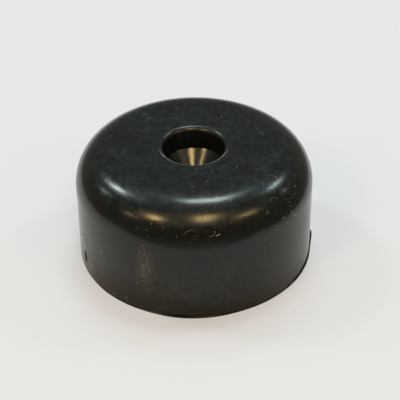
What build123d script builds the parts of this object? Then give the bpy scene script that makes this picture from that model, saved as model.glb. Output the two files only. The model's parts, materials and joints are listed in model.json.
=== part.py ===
"""Screw-on rubber foot: a short round bumper, moulded in one piece.

The broad base lies on z = 0 and the rounded tread faces up, as the foot stands on a bench.
A screw goes down through the tread: its head sits in a recess on a conical seat, and its
shank runs through the hole below.  Lengths are in millimetres and angles in degrees.
"""

import os
from math import cos, radians, sin, tan

from build123d import *

# Body
base_diameter = 39.6
foot_height = 20.2
wall_draft_angle = 0.2
crown_radius = 6.7

# Recess for the screw head, its conical seat and the hole for the shank
recess_diameter = 10.0
recess_depth = 4.0
recess_rim_radius = 1.0
seat_angle = 85.0
screw_hole_diameter = 5.0

# Feather of flash left along part of the base edge
flash_reach = 0.3
flash_thickness = 0.2
flash_start_angle = -150.0
flash_sweep_angle = 157.6

# Scar of the gate, low on the wall
gate_scar_width = 0.9
gate_scar_height = 2.3
gate_scar_depth = 0.4
gate_scar_level = 3.15
gate_scar_angle = -157.2

# Radii and levels that follow from the sizes above
base_radius = base_diameter / 2
wall_slope = tan(radians(wall_draft_angle))
tread_corner_radius = base_radius - foot_height * wall_slope
recess_radius = recess_diameter / 2
screw_hole_radius = screw_hole_diameter / 2
seat_rim_level = foot_height - recess_depth
seat_height = (recess_radius - screw_hole_radius) / tan(radians(seat_angle / 2))
seat_foot_level = seat_rim_level - seat_height


def radial_plane(angle):
    """Upright plane through the axis, with its x along the radius at this angle."""
    x_dir = (cos(radians(angle)), sin(radians(angle)), 0)
    z_dir = (sin(radians(angle)), -cos(radians(angle)), 0)
    return Plane(origin=(0, 0, 0), x_dir=x_dir, z_dir=z_dir)


def wall_plane(angle, level):
    """Plane that touches the drafted wall at this angle and level, with its y upwards."""
    radius = base_radius - level * wall_slope
    east, north = cos(radians(angle)), sin(radians(angle))
    return Plane(
        origin=(radius * east, radius * north, level),
        x_dir=(-north, east, 0),
        z_dir=(east, north, wall_slope),
    )


with BuildPart() as rubber_foot:
    # Half of the section, from the screw hole out to the wall, turned about the axis
    with BuildSketch(radial_plane(0)) as half_section:
        with BuildLine():
            Polyline(
                (screw_hole_radius, 0),
                (base_radius, 0),
                (tread_corner_radius, foot_height),
                (recess_radius, foot_height),
                (recess_radius, seat_rim_level),
                (screw_hole_radius, seat_foot_level),
                close=True,
            )
        make_face()
        crown_corner = half_section.vertices().group_by(Axis.Y)[-1].sort_by(Axis.X)[-1]
        fillet(crown_corner, crown_radius)
        rim_corner = half_section.vertices().group_by(Axis.Y)[-1].sort_by(Axis.X)[0]
        fillet(rim_corner, recess_rim_radius)
    revolve(axis=Axis.Z)

    # The flash is a thin wedge that starts inside the wall and runs out to a sharp edge
    with BuildSketch(radial_plane(flash_start_angle)):
        with BuildLine():
            Polyline(
                (base_radius - flash_reach, 0),
                (base_radius + flash_reach, 0),
                (base_radius - flash_reach, 2 * flash_thickness),
                close=True,
            )
        make_face()
    revolve(axis=Axis.Z, revolution_arc=flash_sweep_angle)

    # The gate scar is an upright oval pit
    with BuildSketch(wall_plane(gate_scar_angle, gate_scar_level)):
        SlotOverall(gate_scar_height, gate_scar_width, rotation=90)
    extrude(amount=gate_scar_depth, both=True, mode=Mode.SUBTRACT)

rubber_foot.part.label = "rubber_foot"

os.makedirs("parts", exist_ok=True)
export_step(rubber_foot.part, "parts/rubber_foot.step")
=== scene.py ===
import json
from math import cos, pi, radians, sin, tan

import bpy
import numpy as np
from mathutils import Matrix, Vector


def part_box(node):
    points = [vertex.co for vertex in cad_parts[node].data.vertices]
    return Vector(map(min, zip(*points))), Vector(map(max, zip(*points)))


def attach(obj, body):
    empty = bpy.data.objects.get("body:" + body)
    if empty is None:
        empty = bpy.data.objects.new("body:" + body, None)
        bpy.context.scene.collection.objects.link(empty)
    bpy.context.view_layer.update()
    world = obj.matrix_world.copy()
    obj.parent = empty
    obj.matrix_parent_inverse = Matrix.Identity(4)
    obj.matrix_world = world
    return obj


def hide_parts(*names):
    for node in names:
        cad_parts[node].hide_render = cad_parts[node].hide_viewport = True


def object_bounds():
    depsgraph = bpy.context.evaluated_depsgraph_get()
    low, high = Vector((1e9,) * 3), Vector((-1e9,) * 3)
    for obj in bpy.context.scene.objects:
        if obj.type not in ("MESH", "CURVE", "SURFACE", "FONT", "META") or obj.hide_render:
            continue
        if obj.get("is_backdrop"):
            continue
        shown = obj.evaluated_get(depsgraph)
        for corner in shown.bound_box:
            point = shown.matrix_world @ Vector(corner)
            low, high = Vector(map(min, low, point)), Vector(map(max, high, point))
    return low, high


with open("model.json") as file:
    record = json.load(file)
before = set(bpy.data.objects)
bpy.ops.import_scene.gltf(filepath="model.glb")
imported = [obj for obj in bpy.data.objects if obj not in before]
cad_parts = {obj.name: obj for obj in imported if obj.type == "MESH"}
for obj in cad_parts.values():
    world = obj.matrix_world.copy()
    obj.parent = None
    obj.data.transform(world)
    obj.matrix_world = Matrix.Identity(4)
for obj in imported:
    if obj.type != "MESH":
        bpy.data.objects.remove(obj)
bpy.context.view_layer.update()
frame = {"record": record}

# Viewpoint
# A long lens looks down on the foot from about 0.2 m away, with a slight roll.
# pixel_rays turns places in its square picture into directions in space.
MM = 0.001
PICTURE_PX = 400
FOCAL_PX = 1161.0
CAMERA_PLACE = Vector((0.94, -159.36, 125.02)) * MM
CAMERA_PITCH = radians(36.09)
CAMERA_ROLL = radians(-0.61)
SENSOR_WIDTH = 36.0
NEAREST_SEEN = 10 * MM

camera_data = bpy.data.cameras.new("viewpoint")
camera_data.sensor_width = SENSOR_WIDTH
camera_data.lens = SENSOR_WIDTH * FOCAL_PX / PICTURE_PX
camera_data.clip_start = NEAREST_SEEN
camera = bpy.data.objects.new("viewpoint", camera_data)
camera_turn = Matrix.Rotation(pi / 2 - CAMERA_PITCH, 4, "X") @ Matrix.Rotation(CAMERA_ROLL, 4, "Z")
camera.matrix_world = Matrix.Translation(CAMERA_PLACE) @ camera_turn
bpy.context.scene.collection.objects.link(camera)
bpy.context.scene.camera = camera


def pixel_rays(pixels):
    """Unit directions from the camera through picture places, an array of (x, y) with y downwards.

    In the camera's own axes the direction is (x - middle, middle - y, -focal length)."""
    middle = PICTURE_PX / 2
    pixels = np.asarray(pixels, float)
    rays = np.stack([
        pixels[..., 0] - middle,
        middle - pixels[..., 1],
        np.full(pixels.shape[:-1], -FOCAL_PX),
    ], axis=-1)
    rays /= np.linalg.norm(rays, axis=-1, keepdims=True)
    return rays @ np.array(camera_turn.to_3x3()).T


# Rubber foot
# One moulding in black rubber: a drafted wall, a large crown and a flat tread with a screw recess.
# The mould left a feather of flash along the base edge and the scar of its gate low on the wall.
low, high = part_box("rubber_foot")
mounts = {mount["name"]: mount["dims"] for mount in frame["record"]["mounts"]}
FOOT_HEIGHT = high.z - low.z
BASE_RADIUS = -low.x
WALL_DRAFT = radians(0.2)
CROWN_RADIUS = 6.7 * MM
SCREW_HOLE_RADIUS = mounts["screw_hole"]["r_mm"] * MM
RECESS_RADIUS = mounts["head_recess"]["r_mm"] * MM
RECESS_RIM_RADIUS = 1.0 * MM
SEAT_RIM_RADIUS = 0.06 * MM
SEAT_FOOT_RADIUS = 0.30 * MM
EDGE_RADIUS = 0.06 * MM
seat_rim_level = FOOT_HEIGHT - RECESS_RIM_RADIUS - mounts["head_recess"]["length_mm"] * MM
seat_foot_level = mounts["screw_hole"]["length_mm"] * MM
crown_corner_radius = BASE_RADIUS - FOOT_HEIGHT * tan(WALL_DRAFT)


def rounded_outline(corners, radii, arc_steps, line_stops):
    """Closed outline of straight stretches joined by tangent arcs.

    An arc starts radius * tan(turn / 2) before its corner and swings about its centre through the
    corner's turn. line_stops gives, for the stretch after each corner, the shares of its length
    where it has a point."""
    ahead = np.roll(corners, -1, axis=0) - corners
    ahead /= np.linalg.norm(ahead, axis=1, keepdims=True)
    behind = np.roll(ahead, 1, axis=0)
    turns = np.arctan2(
        behind[:, 0] * ahead[:, 1] - behind[:, 1] * ahead[:, 0],
        np.sum(behind * ahead, axis=1),
    )
    starts = corners - (radii * np.tan(np.abs(turns) / 2))[:, None] * behind
    stretches = []
    for k, steps in enumerate(arc_steps):
        side = np.sign(turns[k]) * radii[k] * np.array([-behind[k, 1], behind[k, 0]])
        swing = turns[k] * np.linspace(0, 1, steps + 1)
        arm_x = -side[0] * np.cos(swing) + side[1] * np.sin(swing)
        arm_y = -side[0] * np.sin(swing) - side[1] * np.cos(swing)
        arc = starts[k] + side + np.stack([arm_x, arm_y], axis=1)
        end = starts[(k + 1) % len(corners)]
        line = arc[-1] + np.asarray(line_stops[k])[:, None] * (end - arc[-1])
        stretches += [arc, line]
    return np.concatenate(stretches)


def even_stops(count):
    """Shares of a stretch that cut it into count + 1 equal lengths."""
    return np.linspace(0, 1, count + 2)[1:-1]


def smooth_step(low_edge, high_edge, value):
    """Rises from 0 at the low edge to 1 at the high edge along 3t^2 - 2t^3."""
    t = np.clip((value - low_edge) / (high_edge - low_edge), 0, 1)
    return t * t * (3 - 2 * t)


def grid_mesh(name, points, closed_ends=False):
    """Mesh of one or more grids of points, an array (grids, rows, columns, 3), one quad for each cell.

    Columns close on themselves. Rows close on themselves too, or with closed_ends the first and
    the last row are each filled by one flat face."""
    grids, rows, columns = points.shape[:3]
    index = np.arange(grids * rows * columns).reshape(grids, rows, columns)
    over = np.roll(index, -1, axis=2)
    quads = np.stack([index, over, np.roll(over, -1, axis=1), np.roll(index, -1, axis=1)], axis=-1)
    faces = quads[:, :-1] if closed_ends else quads
    loops = faces.reshape(-1)
    sizes = np.full(len(loops) // 4, 4)
    if closed_ends:
        ends = np.concatenate([index[:, 0, ::-1], index[:, -1]])
        loops = np.concatenate([loops, ends.reshape(-1)])
        sizes = np.concatenate([sizes, np.full(len(ends), columns)])
    mesh = bpy.data.meshes.new(name)
    mesh.vertices.add(index.size)
    mesh.vertices.foreach_set("co", points.astype(np.float32).ravel())
    mesh.loops.add(len(loops))
    mesh.loops.foreach_set("vertex_index", loops.astype(np.int32))
    mesh.polygons.add(len(sizes))
    mesh.polygons.foreach_set("loop_start", (np.cumsum(sizes) - sizes).astype(np.int32))
    mesh.polygons.foreach_set("use_smooth", np.ones(len(sizes), dtype=bool))
    mesh.update(calc_edges=True)
    return mesh


def set_amounts(mesh, name, amounts):
    """Keeps one number for each point of the mesh in an attribute with this name."""
    attribute = mesh.attributes.new(name, "FLOAT", "POINT")
    attribute.data.foreach_set("value", np.asarray(amounts, np.float32).ravel())


def add_piece(name, mesh):
    """New object of this mesh, standing at the origin and riding on the foot's one body."""
    piece = bpy.data.objects.new(name, mesh)
    bpy.context.scene.collection.objects.link(piece)
    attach(piece, "root")
    return piece


# The wall has close points where the flash, the gate scar and the air pits need them. Its levels are in
# millimetres.
FLASH_LEVELS = np.array([0.02, 0.05, 0.08, 0.11, 0.13, 0.145, 0.155, 0.165, 0.175, 0.19, 0.22, 0.30, 0.42])
LOW_LEVELS = np.linspace(0.60, 1.80, 5)
SCAR_AND_PIT_LEVELS = np.arange(1.95, 7.65, 0.11)
HIGH_LEVELS = np.linspace(7.9, 12.9, 14)
wall_levels = np.concatenate([FLASH_LEVELS, LOW_LEVELS, SCAR_AND_PIT_LEVELS, HIGH_LEVELS]) * MM

# Each corner of the section has its place, its rounding, the steps of its arc and the points of the stretch
# after it.
section_corners = {
    "hole_mouth": ((SCREW_HOLE_RADIUS, 0), EDGE_RADIUS, 3, even_stops(12)),
    "base_edge": ((BASE_RADIUS, 0), EDGE_RADIUS, 4, wall_levels / (FOOT_HEIGHT - CROWN_RADIUS)),
    "crown": ((crown_corner_radius, FOOT_HEIGHT), CROWN_RADIUS, 46, even_stops(10)),
    "recess_rim": ((RECESS_RADIUS, FOOT_HEIGHT), RECESS_RIM_RADIUS, 14, even_stops(8)),
    "seat_rim": ((RECESS_RADIUS, seat_rim_level), SEAT_RIM_RADIUS, 5, even_stops(10)),
    "seat_foot": ((SCREW_HOLE_RADIUS, seat_foot_level), SEAT_FOOT_RADIUS, 6, even_stops(10)),
}
corners, radii, arc_steps, line_stops = zip(*section_corners.values())
section = rounded_outline(np.array(corners), np.array(radii), arc_steps, line_stops)

# Around the axis the points are even, and closer at the gate scar and at the flash's torn end. The turns are
# in degrees.
FLASH_END = radians(7.6)
GATE_DEGREES = -157.2
EVEN_TURNS = np.arange(-180, 180, 1.2)
SCAR_TURNS = np.arange(-4.0, 5.8, 0.31)
TEAR_TURNS = np.arange(-1.2, 0.9, 0.21)
LEAST_TURN = 0.06
angles = np.sort(np.concatenate([
    np.radians(EVEN_TURNS),
    radians(GATE_DEGREES) + np.radians(SCAR_TURNS),
    FLASH_END + np.radians(TEAR_TURNS),
]))
angles = angles[np.concatenate([[True], np.diff(angles) > radians(LEAST_TURN)])]
turn = np.broadcast_to(angles, (len(section), len(angles)))
radius, level = (np.repeat(column[:, None], len(angles), axis=1) for column in section.T)

# The flash is a thin lip, torn off short at one end. Its reach wavers, each wave with its share, its count
# around the axis and its start, and it bulges where the mould parted most, each bulge with its angle and
# spread in degrees and its reach in millimetres.
FLASH_START = radians(-150.0)
FLASH_FADE = radians(20.0)
FLASH_TEAR = radians(0.35)
FLASH_REACH = 0.10 * MM
FLASH_WAVES = ((0.20, 7, 1.0), (0.12, 17, 0.0))
FLASH_BULGES = {
    "front": (-90.0, 18.0, 0.24),
    "right_front": (-26.0, 18.0, 0.14),
    "torn_end": (9.0, 9.5, 0.72),
}
FLASH_LIP_LEVELS = (0.12 * MM, 0.19 * MM)
flash_reach = np.full(len(angles), FLASH_REACH)
for share, count, start in FLASH_WAVES:
    flash_reach = flash_reach + FLASH_REACH * share * np.sin(count * angles + start)
for angle, spread, reach in FLASH_BULGES.values():
    flash_reach = flash_reach + reach * MM * np.exp(-((angles - radians(angle)) / radians(spread)) ** 2)
flash_reach *= smooth_step(FLASH_START, FLASH_START + FLASH_FADE, angles)
flash_reach *= 1 - smooth_step(FLASH_END, FLASH_END + FLASH_TEAR, angles)

# Marks on the wall leave out the base face and the screw hole, whose points lie further in from the wall than
# they lie high.
on_wall = radius > BASE_RADIUS - 2 * EDGE_RADIUS - level
radius = radius + flash_reach * (1 - smooth_step(*FLASH_LIP_LEVELS, level)) * on_wall


def wall_spot(angle, at_level, half_width, half_height, inner=0.80, outer=1.08):
    """1 inside and 0 outside an ellipse on the wall, (arc / half width)^2 + (climb / half height)^2 = 1.

    It fades from the inner to the outer share of the ellipse's size."""
    arc = (turn - angle) * BASE_RADIUS / half_width
    climb = (level - at_level) / half_height
    return (1 - smooth_step(inner, outer, np.hypot(arc, climb))) * on_wall


# The gate scar and the three air pits above it are dents, each with its angle in degrees and its level, half
# sizes and depth in millimetres.
DENTS = {
    "gate_scar": (GATE_DEGREES, 3.15, 0.45, 1.15, 0.50),
    "upper_pit": (-159.0, 7.1, 0.24, 0.24, 0.08),
    "middle_pit": (-155.2, 7.0, 0.24, 0.28, 0.12),
    "lower_pit": (-153.5, 6.2, 0.20, 0.24, 0.07),
}
for angle, at_level, half_width, half_height, depth in DENTS.values():
    dent = wall_spot(radians(angle), at_level * MM, half_width * MM, half_height * MM)
    radius = radius - depth * MM * dent

# The near side of the recess rim is worn down a little, most in the middle of its rounding. Nearness is 1 on
# the viewer's side of the axis and -1 on the far side.
RIM_SINK = 0.30 * MM
RIM_SINK_RADIUS = 5.30 * MM
RIM_SINK_WIDTH = 0.80 * MM
RIM_SINK_NEARNESS = (-0.2, 0.9)
RIM_SINK_LEVELS = (FOOT_HEIGHT - 3.0 * MM, FOOT_HEIGHT - 1.0 * MM)
nearness = -np.sin(turn)
sunk = np.exp(-((radius - RIM_SINK_RADIUS) / RIM_SINK_WIDTH) ** 2)
sunk = sunk * smooth_step(*RIM_SINK_NEARNESS, nearness) * smooth_step(*RIM_SINK_LEVELS, level)
level = level - RIM_SINK * sunk

foot_points = np.stack([radius * np.cos(turn), radius * np.sin(turn), level], axis=-1)
foot_mesh = grid_mesh("moulded_rubber", foot_points[None])
foot = add_piece("moulded_rubber", foot_mesh)
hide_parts("rubber_foot")

# Places of dirt follow the surface: a dusty smudge with a faint haze around it, a brown stain by the gate and
# the rubbed near side of the recess rim. On the wall each has its angle in degrees and its level and half
# sizes in millimetres, and it fades from an inner share of its size outwards.
WALL_DIRT = {
    "smudge": (-113.2, 9.2, 2.2, 6.0, 0.1),
    "haze": (-105.0, 6.0, 9.0, 7.5, 0.0),
    "stain": (-150.6, 2.6, 0.85, 2.6, 0.0),
}
RIM_WEAR_RADIUS = 5.70 * MM
RIM_WEAR_WIDTH = 0.12 * MM
RIM_WEAR_NEARNESS = (0.1, 0.7)
RIM_WEAR_LEAST_LEVEL = seat_rim_level + 1.0 * MM
dirt_places = {}
for name, (angle, at_level, half_width, half_height, inner) in WALL_DIRT.items():
    spot = (radians(angle), at_level * MM, half_width * MM, half_height * MM)
    dirt_places[name] = wall_spot(*spot, inner=inner, outer=1.0)
rim_band = np.exp(-((radius - RIM_WEAR_RADIUS) / RIM_WEAR_WIDTH) ** 2) * (level > RIM_WEAR_LEAST_LEVEL)
dirt_places["rim_wear"] = rim_band * smooth_step(*RIM_WEAR_NEARNESS, nearness)
for name, amounts in dirt_places.items():
    set_amounts(foot_mesh, name, amounts)


def new_material(name):
    """Node material with this name, with its tree and its Principled shader."""
    material = bpy.data.materials.new(name)
    material.use_nodes = True
    return material, material.node_tree, material.node_tree.nodes["Principled BSDF"]


def add_node(tree, kind, inputs, **settings):
    """New shader node, each of its inputs given as a plain value or as the socket that feeds it."""
    node = tree.nodes.new("ShaderNode" + kind)
    for setting, value in settings.items():
        setattr(node, setting, value)
    for key, value in inputs.items():
        if isinstance(value, bpy.types.NodeSocket):
            tree.links.new(value, node.inputs[key])
        else:
            node.inputs[key].default_value = value
    return node


def combine(tree, operation, *values):
    """Result of a Math node on these numbers or sockets."""
    return add_node(tree, "Math", dict(enumerate(values)), operation=operation).outputs[0]


def rise(tree, value, start, end):
    """Mask that rises smoothly from 0 where the value is start to 1 where it is end."""
    limits = {"Value": value, "From Min": start, "From Max": end}
    return add_node(tree, "MapRange", limits, interpolation_type="SMOOTHSTEP").outputs["Result"]


def noise(tree, place, scale, detail, roughness):
    """Noise between 0 and 1 with this many waves for each unit of place."""
    inputs = {"Vector": place, "Scale": scale, "Detail": detail, "Roughness": roughness}
    return add_node(tree, "TexNoise", inputs).outputs["Fac"]


def blend(tree, amount, under, over):
    """Colour under, covered by the colour over as far as the amount says."""
    inputs = {"Factor": amount, "A": under, "B": over}
    return add_node(tree, "Mix", inputs, data_type="RGBA").outputs["Result"]


def add_up(tree, start, shares):
    """Start plus each mask times its amount, for pairs of mask and amount."""
    total = start
    for mask, amount in shares:
        total = combine(tree, "MULTIPLY_ADD", mask, amount, total)
    return total


def pair(tree, operation, first, second, result="Vector"):
    """Result of a Vector Math node on two vectors."""
    return add_node(tree, "VectorMath", {0: first, 1: second}, operation=operation).outputs[result]


def scaled(tree, vector, factor):
    """Vector times a number."""
    return add_node(tree, "VectorMath", {0: vector, "Scale": factor}, operation="SCALE").outputs["Vector"]


def new_group(name, inputs, outputs):
    """Shader node group with these sockets, as (name, kind) pairs, with its input and output nodes."""
    group = bpy.data.node_groups.new(name, "ShaderNodeTree")
    for direction, sockets in (("INPUT", inputs), ("OUTPUT", outputs)):
        for socket, kind in sockets:
            group.interface.new_socket(socket, in_out=direction, socket_type="NodeSocket" + kind)
    return group, group.nodes.new("NodeGroupInput").outputs, group.nodes.new("NodeGroupOutput").inputs


def millimetres(tree):
    """Object coordinates in millimetres."""
    return scaled(tree, add_node(tree, "TexCoord", {}).outputs["Object"], 1 / MM)


# Fine dust: one grain in each cell of a scattered pattern, of random size, with most cells left empty. The
# least grain is a share of the size, and each grain has a full core.
LEAST_GRAIN_SHARE = 0.35
GRAIN_CORE_SHARE = 0.4
dust_group, given, result = new_group(
    "fine_dust",
    [("Place", "Vector"), ("Cells", "Float"), ("Size", "Float"), ("Share", "Float")],
    [("Mask", "Float")],
)
cells = add_node(dust_group, "TexVoronoi", {"Vector": given["Place"], "Scale": given["Cells"]})
chance = add_node(dust_group, "SeparateColor", {"Color": cells.outputs["Color"]}).outputs
reach = combine(dust_group, "ADD", chance["Green"], LEAST_GRAIN_SHARE)
reach = combine(dust_group, "MULTIPLY", combine(dust_group, "MULTIPLY", reach, given["Size"]), given["Cells"])
core = combine(dust_group, "MULTIPLY", reach, GRAIN_CORE_SHARE)
grain = rise(dust_group, cells.outputs["Distance"], reach, core)
taken = combine(dust_group, "LESS_THAN", chance["Red"], given["Share"])
dust_group.links.new(combine(dust_group, "MULTIPLY", grain, taken), result["Mask"])

# Scratch: a straight mark from a start along a vector, 1 along its middle and 0 outside its width.
scratch_group, given, result = new_group(
    "scratch",
    [("Place", "Vector"), ("Start", "Vector"), ("Along", "Vector"), ("Width", "Float")],
    [("Mask", "Float")],
)
away = pair(scratch_group, "SUBTRACT", given["Place"], given["Start"])
run = pair(scratch_group, "DOT_PRODUCT", away, given["Along"], "Value")
whole = pair(scratch_group, "DOT_PRODUCT", given["Along"], given["Along"], "Value")
run = combine(scratch_group, "DIVIDE", run, whole)
run = add_node(scratch_group, "Clamp", {"Value": run}).outputs["Result"]
gap = pair(scratch_group, "DISTANCE", away, scaled(scratch_group, given["Along"], run), "Value")
scratch_group.links.new(rise(scratch_group, gap, given["Width"], 0.0), result["Mask"])

MARCH_STEPS = 80


def on_foot(pixels):
    """Points and outward normals where rays through picture places first meet the outside of the foot.

    Each ray is followed in steps as long as its gap to the rounded outside: to the crown's arc inside
    the sector that faces it, and elsewhere to the nearer of the wall and the tread."""
    rays = pixel_rays(pixels)
    points = np.broadcast_to(np.array(CAMERA_PLACE), rays.shape).copy()
    arc_radius = crown_corner_radius - CROWN_RADIUS * tan((pi / 2 - WALL_DRAFT) / 2)
    arc_level = FOOT_HEIGHT - CROWN_RADIUS
    for _ in range(MARCH_STEPS):
        reach = np.hypot(points[..., 0], points[..., 1])
        out, up = reach - arc_radius, points[..., 2] - arc_level
        wall_gap = out * cos(WALL_DRAFT) + up * sin(WALL_DRAFT) - CROWN_RADIUS
        tread_gap = up - CROWN_RADIUS
        faces_crown = (out > 0) & (up > out * tan(WALL_DRAFT))
        gap = np.where(faces_crown, np.hypot(out, up) - CROWN_RADIUS, np.maximum(wall_gap, tread_gap))
        points += rays * gap[..., None]
    on_tread = ~faces_crown & (tread_gap > wall_gap)
    lean = np.where(faces_crown, np.arctan2(up, out), np.where(on_tread, pi / 2, WALL_DRAFT))
    outward = points[..., :2] / reach[..., None] * np.cos(lean)[..., None]
    return points, np.concatenate([outward, np.sin(lean)[..., None]], axis=-1)


# Colours of the rubber and of what lies on it.
RUBBER_BLACK = (0.0016, 0.0021, 0.0020, 1)
FILM_COOL = (0.034, 0.045, 0.047, 1)
FILM_WARM = (0.062, 0.054, 0.038, 1)
DUST_GRAIN = (0.20, 0.18, 0.13, 1)
SMUDGE_BEIGE = (0.14, 0.122, 0.085, 1)
STAIN_BROWN = (0.150, 0.115, 0.075, 1)
RIM_PALE = (0.32, 0.34, 0.34, 1)

# Scratches that cross the glossy crown, and scuffs and bare patches on the tread: two picture places and a
# width in millimetres.
SCRATCHES = {
    "left_first": ((104.4, 179.2), (108.0, 176.4), 0.11),
    "left_second": ((105.8, 181.0), (109.6, 178.0), 0.11),
    "left_third": ((107.4, 183.0), (111.2, 180.0), 0.12),
    "front_break": ((228.0, 203.0), (230.2, 196.4), 0.10),
    "front_break_beside": ((230.4, 202.4), (231.8, 198.6), 0.08),
    "right_cut": ((275.4, 188.0), (271.4, 183.6), 0.09),
    "middle_cut": ((201.8, 215.0), (202.4, 221.0), 0.07),
}
SCUFFS = {
    "far_right": ((249.0, 123.0), (263.0, 134.5), 0.9),
    "far_right_edge": ((268.0, 124.0), (281.0, 131.0), 0.9),
    "near_right": ((242.0, 160.0), (252.0, 163.0), 0.6),
    "near_right_long": ((258.0, 173.0), (278.0, 152.5), 1.1),
    "left": ((120.0, 150.0), (129.0, 157.0), 0.9),
    "far_left": ((134.0, 112.0), (160.0, 120.0), 1.4),
}
BARE_PATCHES = {
    "near_right": ((243.0, 170.5), (249.5, 163.5), 1.3),
    "right": ((238.0, 147.0), (262.0, 150.0), 2.2),
    "left": ((116.0, 134.0), (142.0, 150.0), 4.0),
}

# Patterns in the rubber and its dirt: waves in a millimetre, detail, and roughness of the detail.
MOTTLE = (1.5, 4.0, 0.60)
CLOUD = (0.16, 2.0, 0.50)
VEIL = (0.55, 5.0, 0.62)
GRAIN = (6.0, 3.0, 0.60)
TINT = (0.9, 3.0, 0.50)
PATCHY = (2.2, 6.0, 0.75)
HAIRLINE = (1.0, 2.0, 0.50)

rubber, tree, shader = new_material("black_rubber")
place = millimetres(tree)
mottle = noise(tree, place, *MOTTLE)
cloud = noise(tree, place, *CLOUD)
veil = noise(tree, place, *VEIL)
grain = noise(tree, place, *GRAIN)
patchy = noise(tree, place, *PATCHY)

# Parts of the foot, by the level or the distance from the axis where each starts and where it is whole, in
# millimetres.
CROWN_LEVELS = (11.0, 15.5)
TOP_LEVELS = (14.5, 18.5)
LOW_WALL_LEVELS = (12.0, 8.0)
OUTSIDE_RADII = (5.1, 5.9)
RIM_INNER_RADII = (4.9, 5.2)
RIM_OUTER_RADII = (6.4, 5.6)
SEAT_RADII = (5.0, 4.7)
parts = add_node(tree, "SeparateXYZ", {"Vector": place}).outputs
flat = add_node(tree, "CombineXYZ", {"X": parts["X"], "Y": parts["Y"]}).outputs["Vector"]
from_axis = add_node(tree, "VectorMath", {0: flat}, operation="LENGTH").outputs["Value"]
crown = rise(tree, parts["Z"], *CROWN_LEVELS)
top = rise(tree, parts["Z"], *TOP_LEVELS)
low_wall = rise(tree, parts["Z"], *LOW_WALL_LEVELS)
outside = rise(tree, from_axis, *OUTSIDE_RADII)
rim = rise(tree, from_axis, *RIM_INNER_RADII)
rim = combine(tree, "MULTIPLY", rim, rise(tree, from_axis, *RIM_OUTER_RADII))
seat = rise(tree, from_axis, *SEAT_RADII)

# Hairlines run down the crown: the pattern is close around the axis and long up and down.
HAIRLINE_CLOSENESS = 60.0
HAIRLINE_DROP = 0.5
around = add_node(tree, "VectorMath", {0: flat}, operation="NORMALIZE").outputs["Vector"]
drop = combine(tree, "MULTIPLY", parts["Z"], HAIRLINE_DROP)
drop = add_node(tree, "CombineXYZ", {"Z": drop}).outputs["Vector"]
hair_place = pair(tree, "ADD", scaled(tree, around, HAIRLINE_CLOSENESS), drop)
hairlines = noise(tree, hair_place, *HAIRLINE)


def streaks(tree, place, lines):
    """Mask of straight marks on the rubber, each between two picture places and as wide as given."""
    mask = 0.0
    for start, end, width in lines.values():
        (first, last), _ = on_foot((start, end))
        mark = add_node(tree, "Group", {"Place": place, "Width": width}, node_tree=scratch_group)
        mark.inputs["Start"].default_value = first / MM
        mark.inputs["Along"].default_value = (last - first) / MM
        mask = combine(tree, "MAXIMUM", mark.outputs["Mask"], mask)
    return mask


# Where each kind of dirt starts to show in its pattern and where it is whole.
CLOUD_SPAN = (0.20, 0.80)
SPECK_SPAN = (0.42, 0.66)
VEIL_SPAN = (0.40, 0.66)
TINT_SPAN = (0.45, 0.65)
SCUFF_SPAN = (0.42, 0.62)
SMUDGE_SPAN = (0.34, 0.76)
HAZE_SPAN = (0.40, 0.70)
STAIN_SPAN = (0.25, 0.55)
RUB_SPAN = (0.20, 0.60)
dirt = {name: add_node(tree, "Attribute", {}, attribute_name=name).outputs["Fac"] for name in dirt_places}
scratched = streaks(tree, place, SCRATCHES)
scuffed = combine(tree, "MULTIPLY", streaks(tree, place, SCUFFS), rise(tree, mottle, *SCUFF_SPAN))
smudged = combine(tree, "MULTIPLY", rise(tree, patchy, *SMUDGE_SPAN), dirt["smudge"])
hazy = combine(tree, "MULTIPLY", rise(tree, patchy, *HAZE_SPAN), dirt["haze"])
stained = combine(tree, "MULTIPLY", rise(tree, patchy, *STAIN_SPAN), dirt["stain"])
rubbed = combine(tree, "MULTIPLY", rise(tree, mottle, *RUB_SPAN), dirt["rim_wear"])

# A thin film of dust lies on the tread, a little less of it low on the wall, and least in between. In the
# recess, where nothing rubs it off, it is even. Each amount is a share of a full film.
CLOUD_FILM, CLEAR_FILM = 0.50, 0.45
SPECK_FILM, VEIL_FILM = 0.55, 0.45
TOP_FILM, LOW_WALL_FILM, HIGH_WALL_FILM = 0.75, 0.60, 0.25
SCUFF_FILM = 0.60
BARE_LOSS = 0.62
RECESS_FILM = 0.28
clouded = add_up(tree, CLEAR_FILM, [(rise(tree, cloud, *CLOUD_SPAN), CLOUD_FILM)])
speckled = add_up(tree, 0.0, [
    (rise(tree, mottle, *SPECK_SPAN), SPECK_FILM),
    (rise(tree, veil, *VEIL_SPAN), VEIL_FILM),
])
spread = add_up(tree, HIGH_WALL_FILM, [(low_wall, LOW_WALL_FILM), (top, TOP_FILM)])
film = combine(tree, "MULTIPLY", combine(tree, "MULTIPLY", clouded, speckled), spread)
film = add_up(tree, film, [(scuffed, SCUFF_FILM)])
film = combine(tree, "MULTIPLY", film, add_up(tree, 1.0, [(streaks(tree, place, BARE_PATCHES), -BARE_LOSS)]))
film = add_up(tree, RECESS_FILM, [(outside, combine(tree, "SUBTRACT", film, RECESS_FILM))])

# Dust lies in two sizes of grain: cells in a millimetre, radius in millimetres, share of cells and strength.
DUST_LAYERS = {
    "fine": (2.0, 0.06, 0.45, 0.24),
    "coarse": (1.0, 0.11, 0.20, 0.35),
}
dust = 0.0
for cells_per_mm, size, share, strength in DUST_LAYERS.values():
    grains = {"Place": place, "Cells": cells_per_mm, "Size": size, "Share": share}
    layer = add_node(tree, "Group", grains, node_tree=dust_group).outputs["Mask"]
    dust = combine(tree, "MAXIMUM", combine(tree, "MULTIPLY", layer, strength), dust)
dust = combine(tree, "MULTIPLY", dust, outside)

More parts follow.
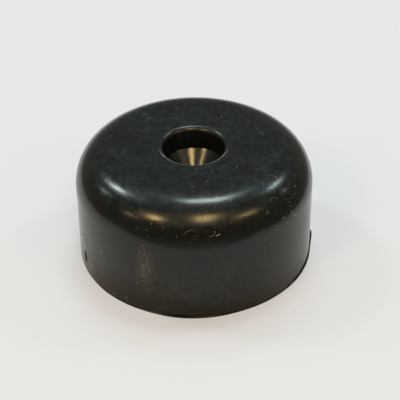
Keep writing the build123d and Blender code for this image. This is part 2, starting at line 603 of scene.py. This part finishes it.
# The film is warmer in patches and low on the wall. Each layer covers those before it as far as its strength.
WARM_STRENGTH = 0.5
warm = add_up(tree, 0.0, [
    (rise(tree, noise(tree, place, *TINT), *TINT_SPAN), WARM_STRENGTH),
    (low_wall, WARM_STRENGTH),
])
colour = RUBBER_BLACK
for mask, strength, over in (
    (film, 0.36, blend(tree, warm, FILM_COOL, FILM_WARM)),
    (hazy, 0.10, SMUDGE_BEIGE),
    (smudged, 0.75, SMUDGE_BEIGE),
    (stained, 0.80, STAIN_BROWN),
    (rubbed, 1.00, RIM_PALE),
    (dust, 1.00, DUST_GRAIN),
):
    colour = blend(tree, combine(tree, "MULTIPLY", mask, strength), colour, over)
tree.links.new(colour, shader.inputs["Base Color"])

# The wall stayed about as glossy as the mould left it. Use has dulled the crown, and the rim of the recess
# most. Each mask adds its amount to the roughness.
MOULD_ROUGHNESS = 0.04
roughness = add_up(tree, MOULD_ROUGHNESS, [
    (grain, 0.16),
    (crown, 0.03),
    (combine(tree, "MULTIPLY", crown, outside), 0.05),
    (combine(tree, "MULTIPLY", top, rim), 0.10),
    (film, 0.06),
    (smudged, 0.30),
    (scratched, 0.15),
])
tree.links.new(roughness, shader.inputs["Roughness"])
RUBBER_SPECULAR = 0.40
shader.inputs["Specular IOR Level"].default_value = RUBBER_SPECULAR

# The seat, which a polished core shaped, has a glossy skin.
SEAT_COAT = 0.22
SEAT_COAT_ROUGHNESS = 0.19
tree.links.new(combine(tree, "MULTIPLY", seat, SEAT_COAT), shader.inputs["Coat Weight"])
shader.inputs["Coat Roughness"].default_value = SEAT_COAT_ROUGHNESS

# Relief: each pattern stands up or is sunk by so many millimetres.
relief = add_up(tree, 0.0, [
    (grain, 0.0032),
    (hairlines, 0.0030),
    (mottle, 0.0015),
    (scratched, -0.0060),
    (dust, 0.0300),
])
bump = add_node(tree, "Bump", {"Height": relief, "Distance": MM})
tree.links.new(bump.outputs["Normal"], shader.inputs["Normal"])
foot_mesh.materials.append(rubber)

# Lint
# Loose textile fibres that cling to the rubber, short, bent and up to an eighth of a millimetre thick.
# Each is a round thread carried along a parabola through three picture places and laid on the foot,
# with its radius in millimetres and a tone from dark to light.
FIBRES = {
    "right_crown_hook": ((268.9, 175.4), (274.0, 176.6), (277.7, 180.5), 0.034, 0.40),
    "right_crown_dash": ((261.6, 182.6), (262.9, 184.0), (263.8, 185.9), 0.036, 0.72),
    "right_crown_arch": ((269.2, 201.9), (271.4, 198.2), (278.0, 198.7), 0.036, 0.27),
    "right_shoulder_tick": ((266.0, 213.6), (267.8, 212.4), (268.1, 210.4), 0.036, 0.40),
    "right_shoulder_dash": ((274.3, 212.8), (275.6, 213.6), (276.8, 215.0), 0.034, 0.14),
    "right_wall_corner": ((291.1, 210.6), (292.6, 214.2), (296.5, 214.5), 0.042, 0.90),
    "right_wall_streak": ((285.9, 223.2), (287.0, 222.4), (287.8, 221.4), 0.036, 0.50),
    "front_thread": ((184.5, 234.7), (187.3, 231.4), (193.4, 230.1), 0.036, 0.24),
    "front_left_tick": ((175.8, 238.6), (176.7, 236.9), (177.4, 235.2), 0.034, 0.20),
    "front_curl_top": ((193.6, 236.6), (196.6, 235.6), (198.0, 237.8), 0.030, 0.09),
    "front_curl_low": ((193.4, 239.4), (194.8, 240.0), (196.2, 239.0), 0.030, 0.22),
    "front_bend": ((208.3, 236.7), (213.4, 235.4), (215.2, 231.0), 0.038, 0.31),
    "front_stub": ((215.7, 236.2), (218.0, 234.9), (220.1, 234.1), 0.062, 0.64),
    "tread_hook_top": ((229.4, 184.6), (232.2, 183.9), (231.9, 186.6), 0.036, 0.11),
    "tread_hook_tail": ((231.9, 186.6), (230.2, 188.4), (231.6, 191.2), 0.036, 0.17),
    "tread_line": ((212.3, 169.0), (212.3, 170.8), (212.5, 172.7), 0.036, 0.20),
    "tread_fleck_left": ((191.2, 190.6), (192.3, 190.9), (192.9, 191.8), 0.038, 0.24),
    "tread_fleck_right": ((192.9, 191.8), (192.2, 192.4), (191.1, 192.7), 0.038, 0.26),
    "tread_right_fleck": ((259.3, 130.6), (261.0, 132.2), (262.5, 134.2), 0.040, 0.18),
    "tread_right_dash": ((247.0, 161.0), (249.5, 160.3), (252.3, 159.7), 0.028, 0.28),
    "tread_right_tick": ((262.4, 159.6), (264.0, 159.2), (265.6, 159.5), 0.028, 0.26),
    "left_wall_line": ((100.8, 250.6), (101.7, 252.2), (102.9, 253.7), 0.032, 0.90),
}
FIBRE_STATIONS = 15
FIBRE_SIDES = 8
FIBRE_LIFT_SHARE = 0.6
FIBRE_ARCH_SHARE = 1.5
FIBRE_TAPER_POWER = 6
FIBRE_END_SHARE = 0.02


def parabola(three_points, count):
    """Points along parabolas through three points each, by Lagrange's weights at 0, 1/2 and 1."""
    u = np.linspace(0, 1, count)
    weights = np.stack([(2 * u - 1) * (u - 1), 4 * u * (1 - u), u * (2 * u - 1)], axis=1)
    return np.einsum("sk,fkc->fsc", weights, np.asarray(three_points, float))


def lint_threads(three_points, radii):
    """Threads around parabolas laid on the foot: centre + radius * (cos * sideways + sin * outwards).

    The thread narrows at its ends as the root of 1 - (2u - 1)^6, and its middle arches off the rubber."""
    u = np.linspace(0, 1, FIBRE_STATIONS)
    points, normals = on_foot(parabola(three_points, FIBRE_STATIONS))
    width = np.asarray(radii)[:, None] * MM
    thickness = width * np.sqrt(np.clip(1 - (2 * u - 1) ** FIBRE_TAPER_POWER, FIBRE_END_SHARE, 1))
    lift = FIBRE_LIFT_SHARE * width * (1 + FIBRE_ARCH_SHARE * np.sin(pi * u))
    centres = points + normals * lift[..., None]
    along = np.gradient(centres, axis=1)
    sideways = np.cross(normals, along)
    sideways /= np.linalg.norm(sideways, axis=-1, keepdims=True)
    swing = np.linspace(0, 2 * pi, FIBRE_SIDES, endpoint=False)[:, None]
    ring = np.cos(swing) * sideways[:, :, None] + np.sin(swing) * normals[:, :, None]
    return centres[:, :, None] + thickness[..., None, None] * ring


def set_tones(mesh, tones):
    """Gives each equal run of the mesh's points its own value in the attribute tone."""
    set_amounts(mesh, "tone", np.repeat(tones, len(mesh.vertices) // len(tones)))


DIRT_SPECULAR = 0.2


def toned_material(name, dark, light, roughness):
    """Matt material whose colour runs from dark to light with the attribute tone."""
    material, tree, shader = new_material(name)
    tone = add_node(tree, "Attribute", {}, attribute_name="tone").outputs["Fac"]
    tree.links.new(blend(tree, tone, dark, light), shader.inputs["Base Color"])
    shader.inputs["Roughness"].default_value = roughness
    shader.inputs["Specular IOR Level"].default_value = DIRT_SPECULAR
    return material


lint_paths = [fibre[:3] for fibre in FIBRES.values()]
lint_radii, lint_tones = zip(*(fibre[3:] for fibre in FIBRES.values()))
lint_mesh = grid_mesh("lint", lint_threads(lint_paths, lint_radii), closed_ends=True)
set_tones(lint_mesh, lint_tones)
add_piece("lint", lint_mesh)

LINT_DARK = (0.020, 0.020, 0.018, 1)
LINT_LIGHT = (0.42, 0.36, 0.25, 1)
LINT_ROUGHNESS = 0.8
lint_mesh.materials.append(toned_material("textile_lint", LINT_DARK, LINT_LIGHT, LINT_ROUGHNESS))

# Dust flakes
# Crumbs of dust, most of them less than 0.3 mm across, that stick to the rubber by its own tack.
# Each is a flattened bead, half sunk, at a picture place with its radius in millimetres and its tone.
FLAKES = {
    "right_shoulder": ((283.7, 217.8), 0.140, 0.60),
    "right_wall_top": ((294.7, 186.4), 0.100, 0.55),
    "right_wall_second": ((295.1, 193.8), 0.078, 0.60),
    "right_wall_third": ((292.1, 197.1), 0.095, 0.27),
    "right_wall_fourth": ((289.4, 202.5), 0.086, 0.45),
    "right_wall_fifth": ((290.8, 205.9), 0.086, 0.30),
    "right_crown_pale": ((286.5, 199.6), 0.062, 0.24),
    "right_crown_low": ((270.7, 192.1), 0.070, 0.55),
    "right_crown_lower": ((274.4, 192.1), 0.070, 0.60),
    "right_crown_faint": ((255.6, 181.4), 0.055, 0.45),
    "right_crown_dot": ((253.3, 195.5), 0.086, 0.40),
    "right_wall_pair_a": ((276.8, 229.6), 0.120, 0.55),
    "right_wall_pair_b": ((274.0, 229.5), 0.080, 0.40),
    "right_wall_low": ((270.4, 243.5), 0.062, 0.65),
    "front_shoulder_a": ((231.9, 222.5), 0.094, 0.30),
    "front_shoulder_b": ((223.8, 218.2), 0.070, 0.30),
    "front_shoulder_c": ((257.7, 220.6), 0.078, 0.14),
    "front_shoulder_d": ((214.8, 227.6), 0.078, 0.25),
    "front_shoulder_e": ((212.4, 225.4), 0.070, 0.30),
    "front_shoulder_f": ((203.0, 224.0), 0.062, 0.60),
    "front_knob": ((215.1, 231.9), 0.120, 0.36),
    "front_thread_end": ((194.8, 231.3), 0.078, 0.22),
    "front_below_thread": ((191.0, 242.8), 0.086, 0.40),
    "left_shoulder_a": ((163.3, 227.5), 0.100, 0.22),
    "left_shoulder_b": ((146.3, 229.9), 0.100, 0.27),
    "left_shoulder_c": ((147.8, 236.7), 0.070, 0.32),
    "left_shoulder_d": ((150.9, 223.8), 0.070, 0.80),
    "tread_far": ((221.5, 117.0), 0.125, 0.48),
    "tread_near": ((236.9, 167.0), 0.094, 0.53),
    "tread_near_faint": ((207.0, 181.0), 0.075, 0.45),
    "tread_front": ((196.1, 169.4), 0.070, 0.70),
    "tread_left": ((170.7, 166.7), 0.062, 0.42),
    "tread_left_far": ((110.7, 136.0), 0.080, 0.55),
    "tread_left_middle": ((137.5, 134.8), 0.080, 0.55),
    "tread_left_faint": ((128.6, 129.2), 0.070, 0.45),
    "smudge_a": ((139.2, 252.7), 0.110, 0.52),
    "smudge_b": ((144.4, 254.4), 0.090, 0.80),
    "smudge_c": ((148.6, 255.4), 0.070, 0.75),
    "smudge_d": ((142.4, 246.0), 0.070, 0.85),
    "smudge_e": ((147.4, 268.0), 0.078, 0.58),
    "smudge_f": ((136.7, 282.8), 0.110, 0.80),
    "smudge_g": ((149.6, 289.8), 0.065, 0.80),
    "left_wall": ((105.8, 256.6), 0.055, 0.80),
    "left_wall_upper": ((93.4, 238.4), 0.055, 0.70),
    "left_base": ((113.5, 293.2), 0.100, 1.00),
    "left_base_second": ((126.3, 297.4), 0.100, 1.00),
}
FLAKE_ROWS = 5
FLAKE_SIDES = 9
FLAKE_HEIGHT_SHARE = 0.6
FLAKE_LUMP_SHARE = 0.35
FLAKE_POLE_ANGLE = 0.08
FLAKE_ASIDE = (0.31, 0.17, 0.93)
FLAKE_SEED = 5


def dust_flakes(pixels, sizes):
    """Beads on the foot: sphere coordinates, flattened, with each side pushed in or out by chance.

    Their sides are laid out from a direction that no normal of the foot is along."""
    points, normals = on_foot(pixels)
    sideways = np.cross(normals, FLAKE_ASIDE)
    sideways /= np.linalg.norm(sideways, axis=-1, keepdims=True)
    upwards = np.cross(normals, sideways)
    chance = np.random.default_rng(FLAKE_SEED)
    lumps = 1 + FLAKE_LUMP_SHARE * chance.uniform(-1, 1, (len(points), 1, FLAKE_SIDES))
    fall = np.linspace(FLAKE_POLE_ANGLE, pi - FLAKE_POLE_ANGLE, FLAKE_ROWS)[None, :, None]
    swing = np.linspace(0, 2 * pi, FLAKE_SIDES, endpoint=False)[None, None, :]
    size = np.asarray(sizes)[:, None, None] * MM
    flat = size * lumps * np.sin(fall)
    x, y = flat * np.cos(swing), flat * np.sin(swing)
    z = np.broadcast_to(-FLAKE_HEIGHT_SHARE * size * np.cos(fall), flat.shape)
    beads = points[:, None, None, :]
    for part, axis in ((x, sideways), (y, upwards), (z, normals)):
        beads = beads + part[..., None] * axis[:, None, None, :]
    return beads


flake_places, flake_sizes, flake_tones = zip(*FLAKES.values())
flake_mesh = grid_mesh("dust_flakes", dust_flakes(flake_places, flake_sizes), closed_ends=True)
set_tones(flake_mesh, flake_tones)
add_piece("dust_flakes", flake_mesh)

FLAKE_DARK = (0.020, 0.018, 0.014, 1)
FLAKE_LIGHT = (0.40, 0.35, 0.25, 1)
FLAKE_ROUGHNESS = 0.85
flake_mesh.materials.append(toned_material("dust_flakes", FLAKE_DARK, FLAKE_LIGHT, FLAKE_ROUGHNESS))

# Table and light
# A sheet of white card carries the foot, near its front edge, under two rows of ceiling panels:
# cool ones behind it and warm ones on the viewer's side, in a room that is lighter at the back.
CARD_LEFT, CARD_RIGHT = -0.075, 0.054
CARD_FRONT, CARD_BACK = -0.041, 0.30
card_mesh = bpy.data.meshes.new("white_card")
card_corners = [
    (CARD_LEFT, CARD_FRONT, 0),
    (CARD_RIGHT, CARD_FRONT, 0),
    (CARD_RIGHT, CARD_BACK, 0),
    (CARD_LEFT, CARD_BACK, 0),
]
card_mesh.from_pydata(card_corners, [], [(0, 1, 2, 3)])
card = bpy.data.objects.new("white_card", card_mesh)
bpy.context.scene.collection.objects.link(card)
card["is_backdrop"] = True

CARD_WHITE = (0.590, 0.578, 0.640, 1)
SEEN_WHITE = (0.785, 0.785, 0.805, 1)
CARD_LIFT = 0.42
CARD_ROUGHNESS = 0.9
CARD_SPECULAR = 0.1
card_material, tree, shader = new_material("white_card")
shader.inputs["Base Color"].default_value = CARD_WHITE
shader.inputs["Roughness"].default_value = CARD_ROUGHNESS
shader.inputs["Specular IOR Level"].default_value = CARD_SPECULAR
lifted = add_node(tree, "Emission", {"Color": SEEN_WHITE})
seen = combine(tree, "MULTIPLY", add_node(tree, "LightPath", {}).outputs["Is Camera Ray"], CARD_LIFT)
mixed = add_node(tree, "MixShader", {"Fac": seen, 1: shader.outputs["BSDF"], 2: lifted.outputs["Emission"]})
tree.links.new(mixed.outputs["Shader"], tree.nodes["Material Output"].inputs["Surface"])
card_mesh.materials.append(card_material)

# Panels hang on one ceiling. Each has its colour, its place as shares of the ceiling's height, its turn in
# degrees, its size in metres and its brightness.
CEILING = 0.9
COOL_LIGHT = (0.86, 0.99, 0.95)
WARM_LIGHT = (1.0, 0.71, 0.30)
SKY_LIGHT = (0.55, 0.88, 1.0)
CEILING_LIGHT = (1.0, 0.74, 0.44)
PANELS = {
    "cool_far_left": (COOL_LIGHT, (-1.85, 0.49), 0.0, (0.14, 0.10), 44),
    "cool_left": (COOL_LIGHT, (-0.83, 0.40), -48.0, (0.23, 0.13), 38),
    "cool_left_start": (COOL_LIGHT, (-1.00, 0.60), -48.0, (0.20, 0.09), 13),
    "cool_left_end": (SKY_LIGHT, (-0.55, 0.15), -45.0, (0.26, 0.05), 3),
    "cool_middle": (COOL_LIGHT, (0.09, 0.245), 0.0, (0.27, 0.16), 21),
    "cool_middle_end": (SKY_LIGHT, (0.29, 0.37), 50.0, (0.18, 0.07), 5),
    "cool_right": (COOL_LIGHT, (0.93, 0.485), 52.0, (0.15, 0.11), 41),
    "cool_right_ends": (SKY_LIGHT, (0.96, 0.51), 52.0, (0.40, 0.10), 9),
    "cool_far_right": (COOL_LIGHT, (2.00, 0.48), 0.0, (0.15, 0.08), 22),
    "warm_far_left": (WARM_LIGHT, (-1.74, -0.81), -40.0, (0.24, 0.10), 26),
    "warm_left": (WARM_LIGHT, (-0.77, -0.81), -35.0, (0.22, 0.28), 29),
    "warm_middle": (WARM_LIGHT, (0.165, -0.775), 0.0, (0.26, 0.38), 16),
    "warm_right": (WARM_LIGHT, (1.11, -0.74), 37.0, (0.38, 0.075), 35),
    "cool_ceiling": (SKY_LIGHT, (0.0, 0.36), 0.0, (2.0, 0.30), 0.4),
    "warm_ceiling": (CEILING_LIGHT, (0.1, -0.95), 0.0, (2.2, 1.00), 0.48),
    "card_fill": (SKY_LIGHT, (0.0, 0.60), 0.0, (0.34, 0.16), 15),
}
for name, (colour, (across, along), turned, (width, depth), brightness) in PANELS.items():
    panel_data = bpy.data.lights.new(name, "AREA")
    panel_data.shape = "RECTANGLE"
    panel_data.size, panel_data.size_y = width, depth
    panel_data.color = colour
    panel_data.energy = brightness * pi * width * depth
    panel = bpy.data.objects.new(name, panel_data)
    panel.location = (across * CEILING, along * CEILING, CEILING)
    panel.rotation_euler = (0, 0, radians(turned))
    bpy.context.scene.collection.objects.link(panel)

# The fill is diffused daylight that only lengthens the shadow on the card: the gloss does not mirror it.
bpy.data.objects["card_fill"].visible_glossy = False

# The room is dark at the horizon and far above it. Its light rises to a bright part of the ceiling, a little
# behind the foot, and to the pale bench in front of the card. Each stop is a height, from -1 below to 1
# above, and a colour.
BRIGHT_LEAN = radians(14.0)
ROOM_LIGHT = (
    (-0.74, (0.56, 0.54, 0.48)),
    (-0.57, (0.43, 0.41, 0.36)),
    (-0.40, (0.29, 0.26, 0.21)),
    (-0.24, (0.22, 0.19, 0.15)),
    (0.10, (0.21, 0.18, 0.14)),
    (0.40, (0.20, 0.20, 0.18)),
    (0.60, (0.19, 0.21, 0.20)),
    (0.78, (0.23, 0.26, 0.25)),
    (0.87, (0.37, 0.42, 0.41)),
    (0.97, (0.46, 0.52, 0.50)),
)
room = bpy.data.worlds.new("room")
bpy.context.scene.world = room
room.use_nodes = True
tree = room.node_tree
direction = add_node(tree, "TexCoord", {}).outputs["Generated"]
bright_way = (0, sin(BRIGHT_LEAN), cos(BRIGHT_LEAN))
towards = pair(tree, "DOT_PRODUCT", direction, bright_way, "Value")
ramp = add_node(tree, "ValToRGB", {"Fac": combine(tree, "MULTIPLY_ADD", towards, 0.5, 0.5)})
stops = ramp.color_ramp.elements
while len(stops) < len(ROOM_LIGHT):
    stops.new(1.0)
for stop, (height, colour) in zip(stops, ROOM_LIGHT):
    stop.position = 0.5 + 0.5 * height
    stop.color = (*colour, 1)
seen = add_node(tree, "LightPath", {}).outputs["Is Camera Ray"]
tree.links.new(
    blend(tree, seen, ramp.outputs["Color"], SEEN_WHITE),
    tree.nodes["Background"].inputs["Color"],
)
bpy.context.scene.view_settings.view_transform = "Standard"

low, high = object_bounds()
